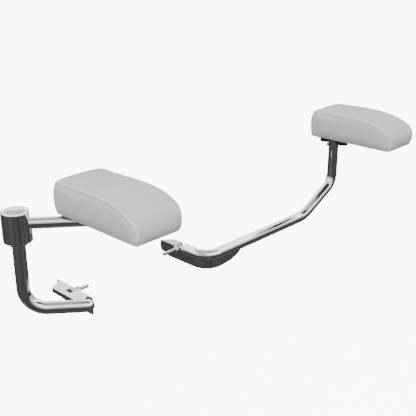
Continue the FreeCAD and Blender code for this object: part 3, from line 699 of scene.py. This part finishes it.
def seam_line():
    """The seam's route about the pad's foot: up one front corner, back along the side's top edge,
    across the rear, and forward down the other side."""
    loop, normals = side_loop(SEAM_LOOP_POINTS)
    start = np.argmin(np.hypot(loop[:, 0] - PAD_LENGTH, loop[:, 1]))
    loop, normals = np.roll(loop, -start, 0), np.roll(normals, -start, 0)
    end = np.argmin(np.hypot(loop[:, 0], loop[:, 1] - PAD_HEIGHT))
    pick = np.linspace(0, end, SEAM_SIDE_POINTS).astype(int)
    route = loop[pick] - normals[pick] * SEAM_INSET
    x = half_width(route[:, 0]) - SEAM_INSET
    side = np.stack([x, route[:, 0], route[:, 1]], -1)
    cross = np.linspace(1, -1, SEAM_REAR_POINTS + 2)[1:-1]
    back = np.stack([cross * x[-1], 0 * cross + route[-1, 0], 0 * cross + route[-1, 1]], -1)
    return np.vstack([side, back, side[::-1] * np.array([-1, 1, 1])])


def surface_tree(item):
    """A search tree over an object's faces."""
    faces = [tuple(face.vertices) for face in item.data.polygons]
    return BVHTree.FromPolygons(read_points(item.data).tolist(), faces)


def drop_onto(item, line):
    """The nearest points of an object's surface to a line of points."""
    tree = surface_tree(item)
    return np.array([tree.find_nearest(spot)[0] for spot in line.tolist()])


def soften(line, times=6):
    """Evens out a line by averaging each point with its neighbours; the ends stay."""
    for _ in range(times):
        line[1:-1] = (line[:-2] + 2 * line[1:-1] + line[2:]) / 4
    return line


seam = soften(drop_onto(pad_master, seam_line()))


def seam_distance(points, line):
    """Each point's distance to the nearest stretch of the line, in blocks to save memory."""
    start, step = line[:-1], np.diff(line, axis=0)
    length = (step ** 2).sum(1)
    nearest = []
    for block in np.array_split(points, max(1, len(points) // BLOCK_POINTS)):
        offset = block[:, None] - start[None]
        share = np.clip((offset * step[None]).sum(2) / length, 0, 1)
        gap = offset - share[..., None] * step[None]
        nearest.append(np.sqrt((gap ** 2).sum(2).min(1)))
    return np.concatenate(nearest)


# %% Ridge and groove
RIDGE_HEIGHT = 1.3 * MM
RIDGE_WIDTH = 2.6 * MM
GROOVE_DEPTH = 0.45 * MM
GROOVE_PLACE = 2.2


def sew(item, line):
    """Raises a ridge along the seam, sinks the vinyl beyond it, and stores the distance to the seam.

    With d the distance, a point moves along its normal by
    ridge * exp(-(d / width)^2) - groove * exp(-((d - place * width) / width)^2).
    """
    mesh = item.data
    points = read_points(mesh)
    normals = np.empty(len(points) * 3)
    mesh.vertices.foreach_get("normal", normals)
    distance = seam_distance(points, line)
    ridge = RIDGE_HEIGHT * np.exp(-((distance / RIDGE_WIDTH) ** 2))
    groove = GROOVE_DEPTH * np.exp(-(((distance - GROOVE_PLACE * RIDGE_WIDTH) / RIDGE_WIDTH) ** 2))
    write_points(mesh, points + normals.reshape(-1, 3) * (ridge - groove)[:, None])
    stored = mesh.attributes.new("seam", "FLOAT", "POINT")
    stored.data.foreach_set("value", distance.astype(np.float32))


sew(pad_master, seam)
print("seam", round(float(np.linalg.norm(np.diff(seam, axis=0), axis=1).sum()), 3), "m")

# %% [markdown]
# ## Foam
#
# The foam block fills the cover above the board. It is the same form, a little smaller, sliced
# level at the board's top and closed there with one flat face.

# %% Foam block
FOAM_INSET = 7.5 * MM
FOAM_GAP = 0.1 * MM
board_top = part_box("right_pad_board")[1][2] - pad_boxes["right"][0][2]


def foam_block():
    """The pad's form set in, with all below the board's top cut off and the cut closed."""
    block = make_object("foam_master", *skin(pad_form(FOAM_INSET)), FINISHES["foam"])
    work = bmesh.new()
    work.from_mesh(block.data)
    everything = work.verts[:] + work.edges[:] + work.faces[:]
    level = (0, 0, board_top + FOAM_GAP)
    bmesh.ops.bisect_plane(work, geom=everything, plane_co=level, plane_no=(0, 0, 1), clear_inner=True)
    bmesh.ops.holes_fill(work, edges=[edge for edge in work.edges if edge.is_boundary])
    bmesh.ops.recalc_face_normals(work, faces=work.faces[:])
    work.to_mesh(block.data)
    work.free()
    return crisp(block)


foam_master = foam_block()
print("foam faces", len(foam_master.data.polygons))

# %% [markdown]
# ## Both pads in place
#
# The finished cover and foam are copied, and each copy is moved by its points, so every object stays
# at the origin. Each copy rides on the body of its own pad. At the end a measure shows whether
# anything inside reaches through a cover.

# %% Place both pads
PAD_BODIES = {"right": "right_arm", "left": "left_pad"}
for side, (low, high) in pad_boxes.items():
    shift = pad_foot(low, high)
    cover = bpy.data.objects.new(f"{side}_pad_upholstery", pad_master.data.copy())
    filling = bpy.data.objects.new(f"{side}_pad_filling", foam_master.data.copy())
    for piece in (cover, filling):
        bpy.context.scene.collection.objects.link(piece)
        write_points(piece.data, read_points(piece.data) + shift)
        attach(piece, PAD_BODIES[side])
    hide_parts(f"{side}_pad_cover")
    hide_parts(f"{side}_pad_foam")


def deepest_poke(outer, inner):
    """How far the inner object's points reach past the outer surface, in metres; negative is inside."""
    tree = surface_tree(outer)
    hits = [(spot, tree.find_nearest(spot)) for spot in read_points(inner.data).tolist()]
    return max(float((Vector(spot) - hit[0]).dot(hit[1])) for spot, hit in hits)


for side in pad_boxes:
    cover = bpy.data.objects[f"{side}_pad_upholstery"]
    for inner in (nodes[f"{side}_pad_board"], bpy.data.objects[f"{side}_pad_filling"]):
        print(inner.name, "reaches", round(deepest_poke(cover, inner) / MM, 2), "mm past the cover")
for master in (pad_master, foam_master):
    bpy.data.objects.remove(master)

# %% [markdown]
# ## Turned and threaded hardware
#
# Knobs, bolts, nuts and screws are all worked out the same way: a radius for every distance along
# the axis and every angle round it. A plain profile gives round stretches. A hexagon, the ribs of a
# grip or a screw thread only change the radius with the angle. The frame gives each piece's box, so
# the fine version takes the place and the size of the plain one.

# %% Shapes about an axis


def eased(corners, soft, steps=4):
    """A polyline of (radius, distance) whose inner corners are replaced by short curves.

    Each curve is a quadratic from soft before the corner to soft after it, pulled by the corner.
    """
    corners = np.array(corners, float) * MM
    share = np.linspace(0, 1, steps)[:, None]
    path = [corners[:1]]
    for before, corner, after in zip(corners, corners[1:], corners[2:]):
        back, ahead = before - corner, after - corner
        first = corner + back * min(soft / np.linalg.norm(back), 0.45)
        last = corner + ahead * min(soft / np.linalg.norm(ahead), 0.45)
        path.append((1 - share) ** 2 * first + 2 * share * (1 - share) * corner + share ** 2 * last)
    return np.vstack([*path, corners[-1:]])


def about_axis(radius, distance, angle, start, along):
    """A grid of points about an axis: radius (rows, columns), distance (rows, 1) or the same shape.

    along is the axis as a unit vector on one of the frame's axes, and start is where distance is 0.
    """
    along = np.array(along, float)
    first = np.roll(abs(along), 1)
    second = np.roll(abs(along), 2)
    out = first * np.cos(angle)[:, None] + second * np.sin(angle)[:, None]
    spread = np.broadcast_to(distance, radius.shape)[..., None] * along
    return np.array(start, float) + radius[..., None] * out + spread


def even_angles(count):
    """Angles of a full turn in equal steps, without the last, which is the first again."""
    return np.linspace(0, 2 * math.pi, count, endpoint=False)


def hexagon_radius(angle, across_corners):
    """Half the corner width times cos 30 / cos of the angle from the middle of the flat."""
    from_flat = np.mod(angle, math.pi / 3) - math.pi / 6
    return across_corners / 2 * math.cos(math.pi / 6) / np.cos(from_flat)


def dress(item, body, node):
    """Puts a fine piece on its body, in place of a plain node, which it hides."""
    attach(item, body)
    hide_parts(node)
    print(item.name, len(item.data.polygons), "faces")


# %% [markdown]
# ## Clamp knobs
#
# Two hand knobs under each pad screw up through its steel plate into the tee nuts in the board. The
# grip's ribs could be cut from a cylinder with booleans, which leave ragged edges. Here they are
# part of the radius, so they fade out on the grip's rounded rim.

# %% Clamp knobs under the pads
KNOB_RIBS = 20
RIB_DEPTH = 0.7 * MM
RIB_FROM = 11.5 * MM
RIB_FADE = 1.5 * MM
KNOB_PROFILE = [(1, 1), (8.5, 1), (9.5, 0), (13, 0), (13, 14), (9, 15), (7, 16), (7, 19), (3, 19), (3, 35)]


def knob(start):
    """A hand knob: a ribbed grip, a neck and a stud. The ribs fade in where the radius nears the rim's."""
    profile = eased(KNOB_PROFILE, 0.8 * MM)
    angle = even_angles(8 * KNOB_RIBS)
    near_rim = np.clip((profile[:, :1] - RIB_FROM) / RIB_FADE, 0, 1)
    groove = (0.5 + 0.5 * np.cos(KNOB_RIBS * angle)) ** 2
    radius = profile[:, :1] - RIB_DEPTH * near_rim * groove
    return skin(about_axis(radius, profile[:, 1:], angle, start, (0, 0, 1)))


for side, body in PAD_BODIES.items():
    low, high = [np.array(corner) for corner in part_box(f"{side}_pad_knobs")]
    rim = KNOB_PROFILE[3][0] * MM
    centres = [((low[0] + high[0]) / 2, low[1] + rim), ((low[0] + high[0]) / 2, high[1] - rim)]
    pair = join_parts([knob((x, y, low[2])) for x, y in centres])
    knobs = crisp(make_object(f"{side}_clamp_knobs", *pair, FINISHES["black_plastic"]), 40)
    dress(knobs, body, f"{side}_pad_knobs")

# %% [markdown]
# ## Mounting bolts and nuts
#
# A hexagon bolt goes through each bracket, and its nut leaves a free threaded end for the chair. A
# thread could be a helix swept along the bolt, which is hard to close at its ends. A grid whose
# radius falls and rises with the thread's turn stays one closed skin and has the right outline.

# %% Mounting bolts and nuts
THREAD_RADIUS = 4.0 * MM
THREAD_PITCH = 1.25 * MM
THREAD_DEPTH = 0.65 * MM
PLAIN_RADIUS = 3.7 * MM
CORNER_WIDTH = 15.0 * MM
HEAD_HEIGHT = 5.5 * MM
CHAMFER_SLOPE = 1.7
CHAMFER_START = 6.1 * MM
TIP_CUT = 1.0 * MM
BORE_CUT = 0.5 * MM
HEAD_ROWS = [0, 0.25, 0.5, 0.8, 1.2, 5.2, 5.5]
NUT_ROWS = [0, 0.25, 0.5, 0.8, 1.2, 5.3, 5.7, 6.0, 6.25, 6.5]


def chamfered_hexagon(distance, height, angle, both_ends):
    """The hexagon's radius, or a cone's where that is less, so that the corners are turned off."""
    to_end = np.minimum(distance, height - distance) if both_ends else distance
    return np.minimum(hexagon_radius(angle, CORNER_WIDTH)[None], CHAMFER_START + CHAMFER_SLOPE * to_end)


def mount_bolt(start, along, length, plain):
    """A hexagon-headed bolt: the head, a plain shank, then a thread.

    The thread's radius falls by depth * |2 * turn - 1|, where turn is the fractional part of
    distance / pitch - angle / full turn; a cone takes the last millimetre down.
    """
    angle = even_angles(48)
    head = np.array(HEAD_ROWS)[:, None] * MM
    shank = np.array([HEAD_HEIGHT, HEAD_HEIGHT + plain])[:, None]
    thread = np.arange(HEAD_HEIGHT + plain, length, THREAD_PITCH / 10)[:, None]
    turn = np.mod(thread / THREAD_PITCH - angle[None] / (2 * math.pi), 1)
    cut_thread = THREAD_RADIUS - THREAD_DEPTH * abs(2 * turn - 1)
    cut_thread = np.minimum(cut_thread, THREAD_RADIUS - TIP_CUT + (length - thread))
    rows = [
        chamfered_hexagon(head, HEAD_HEIGHT, angle, both_ends=False),
        np.full((2, len(angle)), PLAIN_RADIUS),
        cut_thread,
    ]
    distance = np.vstack([head, shank, thread])
    return skin(about_axis(np.vstack(rows), distance, angle, start, along))


def hexagon_nut(start, along, height):
    """A ring: out along the chamfered hexagon, and back along the bore with its countersinks."""
    angle = even_angles(48)
    outer = np.array(NUT_ROWS)[:, None] / NUT_ROWS[-1] * height
    inner = outer[::-1]
    to_end = np.minimum(inner, height - inner)
    bore = np.maximum(THREAD_RADIUS + BORE_CUT - to_end, THREAD_RADIUS - 0.15 * MM)
    radius = np.vstack([chamfered_hexagon(outer, height, angle, both_ends=True), bore + 0 * angle[None]])
    return skin(about_axis(radius, np.vstack([outer, inner]), angle, start, along), rows_join=True)


for side, inward in (("right", -1), ("left", 1)):
    low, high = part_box(f"{side}_mount_bolt")
    nut_low, nut_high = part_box(f"{side}_mount_nut")
    level = ((low[1] + high[1]) / 2, (low[2] + high[2]) / 2)
    head_face, nut_face = (high[0], nut_high[0]) if inward < 0 else (low[0], nut_low[0])
    along = (inward, 0, 0)
    plain = abs(nut_face - head_face) - HEAD_HEIGHT
    shape = mount_bolt((head_face, *level), along, high[0] - low[0], plain)
    bolt = crisp(make_object(f"{side}_threaded_bolt", *shape, FINISHES["zinc_plated_steel"]), 35)
    dress(bolt, "chair_side", f"{side}_mount_bolt")
    shape = hexagon_nut((nut_face, *level), along, nut_high[0] - nut_low[0])
    nut = crisp(make_object(f"{side}_hexagon_nut", *shape, FINISHES["zinc_plated_steel"]), 35)
    dress(nut, "chair_side", f"{side}_mount_nut")

# %% [markdown]
# ## Clamp screw
#
# A pan-head screw near the top of the left post holds the pad's stem where it is turned to. Its
# cross recess is made by sinking the head's own grid with a soft-edged mask, which keeps the screw
# one closed skin where a boolean cut would leave slivers.

# %% Clamp screw with its cross recess
SCREW_RADIUS = 5.0 * MM
SCREW_DOME = 1.4 * MM
SCREW_HEAD = 6.0 * MM
CROSS_DEPTH = 2.0 * MM
CROSS_HALF_WIDTH = 0.95 * MM
CROSS_HALF_LENGTH = 2.9 * MM


def cross_recess(first, second):
    """1 inside a cross, 0 outside it: each arm is a narrow bar with soft edges."""

    def arm(across, length):
        in_width = np.clip((CROSS_HALF_WIDTH - abs(across)) / (0.3 * MM), 0, 1)
        return in_width * np.clip((CROSS_HALF_LENGTH - abs(length)) / (0.4 * MM), 0, 1)

    return np.maximum(arm(first, second), arm(second, first))


def clamp_screw(start, along, length):
    """A pan head whose face drops by dome * (radius / full) ** 2 and sinks into a cross; then a shank."""
    angle = even_angles(120)
    face = np.linspace(0.1 * MM, SCREW_RADIUS, 40)[:, None] + 0 * angle[None]
    sunk = CROSS_DEPTH * cross_recess(face * np.cos(angle), face * np.sin(angle))
    face_distance = SCREW_DOME * (face / SCREW_RADIUS) ** 2 + sunk
    rest = eased([(5, 1.4), (5, 6), (3, 6), (3, length / MM)], 0.25 * MM)
    radius = np.vstack([face, rest[1:, :1] + 0 * angle[None]])
    distance = np.vstack([face_distance, rest[1:, 1:] + 0 * angle[None]])
    return skin(about_axis(radius, distance, angle, start, along))


low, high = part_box("left_clamp_screw")
head_middle = ((low[0] + high[0]) / 2, low[1], (low[2] + high[2]) / 2)
shape = clamp_screw(head_middle, (0, 1, 0), high[1] - low[1])
screw = crisp(make_object("left_cross_screw", *shape, FINISHES["zinc_plated_steel"]), 40)
dress(screw, "chair_side", "left_clamp_screw")

# %% [markdown]
# ## Studio floor
#
# The floor is a large pale sheet, lit from below like a light table so that it stays nearly white.
# It is hidden from reflections and throws no light on the object. The lower half of every chromed
# tube then mirrors the dark end of the studio, and the tubes stand out from the white.

# %% Floor
FLOOR_DROP = 0.012
floor_level = cad_low[2] - FLOOR_DROP
FLOOR_REACH = 14.0
FLOOR_GLOW = 8.0


def pale_floor_finish():
    """Matt, nearly white paper with the faintest unevenness."""
    finish = Finish("studio_floor", Specular_IOR_Level=0.0, Roughness=0.9, Emission_Strength=FLOOR_GLOW)
    finish.shader.inputs["Emission Color"].default_value = grey(1.0)
    finish.paint("Base Color", finish.blend(finish.noise(3.0), grey(0.90), grey(0.92)))
    return finish.material


corners = FLOOR_REACH * np.array([[-1, -1, 0], [1, -1, 0], [1, 1, 0], [-1, 1, 0]], float)
corners[:, 2] = floor_level
floor_mesh = bpy.data.meshes.new("studio_floor")
floor_mesh.from_pydata(corners.tolist(), [], [(0, 1, 2, 3)])
floor_mesh.materials.append(pale_floor_finish())
floor = bpy.data.objects.new("studio_floor", floor_mesh)
bpy.context.scene.collection.objects.link(floor)
floor.visible_glossy = False
floor.visible_diffuse = False
floor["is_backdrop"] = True
print("floor at", round(floor_level, 4), "m")

# %% [markdown]
# ## World
#
# Chrome shows only what is round it, so the world matters more than the lamps. Its brightness
# depends on height: dark below the horizon, bright above it, and brightest in one band, which every
# tube mirrors as a white streak. A slow noise makes the band uneven, as real walls are.

# %% World
world = bpy.data.worlds.new("studio")
bpy.context.scene.world = world
world.use_nodes = True
world_nodes, world_links = world.node_tree.nodes, world.node_tree.links
direction = world_nodes.new("ShaderNodeTexCoord")
split = world_nodes.new("ShaderNodeSeparateXYZ")
ramp = world_nodes.new("ShaderNodeValToRGB")
reach = world_nodes.new("ShaderNodeMapRange")
reach.inputs["From Min"].default_value = -1.0
world_links.new(direction.outputs["Generated"], split.inputs[0])
world_links.new(split.outputs["Z"], reach.inputs["Value"])
world_links.new(reach.outputs[0], ramp.inputs[0])
SKY = [
    (0.0, 0.10),
    (0.36, 0.085),
    (0.48, 0.05),
    (0.515, 0.42),
    (0.60, 0.95),
    (0.71, 1.10),
    (0.77, 3.60),
    (0.86, 3.00),
    (0.92, 0.90),
    (1.0, 0.60),
]
for number, (place, level) in enumerate(SKY):
    if number >= len(ramp.color_ramp.elements):
        ramp.color_ramp.elements.new(place)
    ramp.color_ramp.elements[number].position = place
    ramp.color_ramp.elements[number].color = grey(level)
world_links.new(ramp.outputs[0], world_nodes["Background"].inputs["Color"])

# The noise scales the world's strength, so tubes show soft lengthwise bands.
walls = world_nodes.new("ShaderNodeTexNoise")
walls.inputs["Scale"].default_value = 2.2
walls.inputs["Detail"].default_value = 1.0
strength = world_nodes.new("ShaderNodeMapRange")
for socket, value in {"From Min": 0.3, "From Max": 0.7, "To Min": 0.55, "To Max": 1.25}.items():
    strength.inputs[socket].default_value = value
world_links.new(direction.outputs["Generated"], walls.inputs["Vector"])
world_links.new(walls.outputs[0], strength.inputs["Value"])
world_links.new(strength.outputs[0], world_nodes["Background"].inputs["Strength"])
print("sky stops", len(SKY))

# %% [markdown]
# ## Lights
#
# Two soft square lights shape the pads, which don't mirror. One hangs overhead, and a large one far
# behind the camera fills the sides evenly. Neither is seen in the chrome, where it would leave a
# hard white square.

# %% Lights
OVERHEAD_HEIGHT = 2.2
OVERHEAD_SIZE = 2.4
OVERHEAD_POWER = 3.0
FILL_DISTANCE = 6.0
FILL_SIZE = 4.0
FILL_POWER = 480.0


def soft_box(name, place, aim, size, power):
    """A square area light that looks at a point and isn't mirrored in the chrome."""
    data = bpy.data.lights.new(name, "AREA")
    data.size = size
    data.energy = power
    light = bpy.data.objects.new(name, data)
    light.location = place
    light.rotation_euler = (Vector(aim) - Vector(place)).to_track_quat("-Z", "Y").to_euler()
    light.visible_glossy = False
    bpy.context.scene.collection.objects.link(light)


middle = (Vector(cad_low) + Vector(cad_high)) / 2
soft_box("overhead", (middle.x, middle.y, OVERHEAD_HEIGHT), middle, OVERHEAD_SIZE, OVERHEAD_POWER)
toward_camera = (camera.location - middle).normalized()
soft_box("fill", middle + toward_camera * FILL_DISTANCE, middle, FILL_SIZE, FILL_POWER)
print("lights", OVERHEAD_POWER, "and", FILL_POWER, "W")

# %% Finish
visual_low, visual_high = [[float(value) for value in corner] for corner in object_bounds()]
for name, low_or_high, cad_corner in (("low", visual_low, cad_low), ("high", visual_high, cad_high)):
    print(name, "corner moved", np.round((np.array(low_or_high) - cad_corner) / MM, 1), "mm")
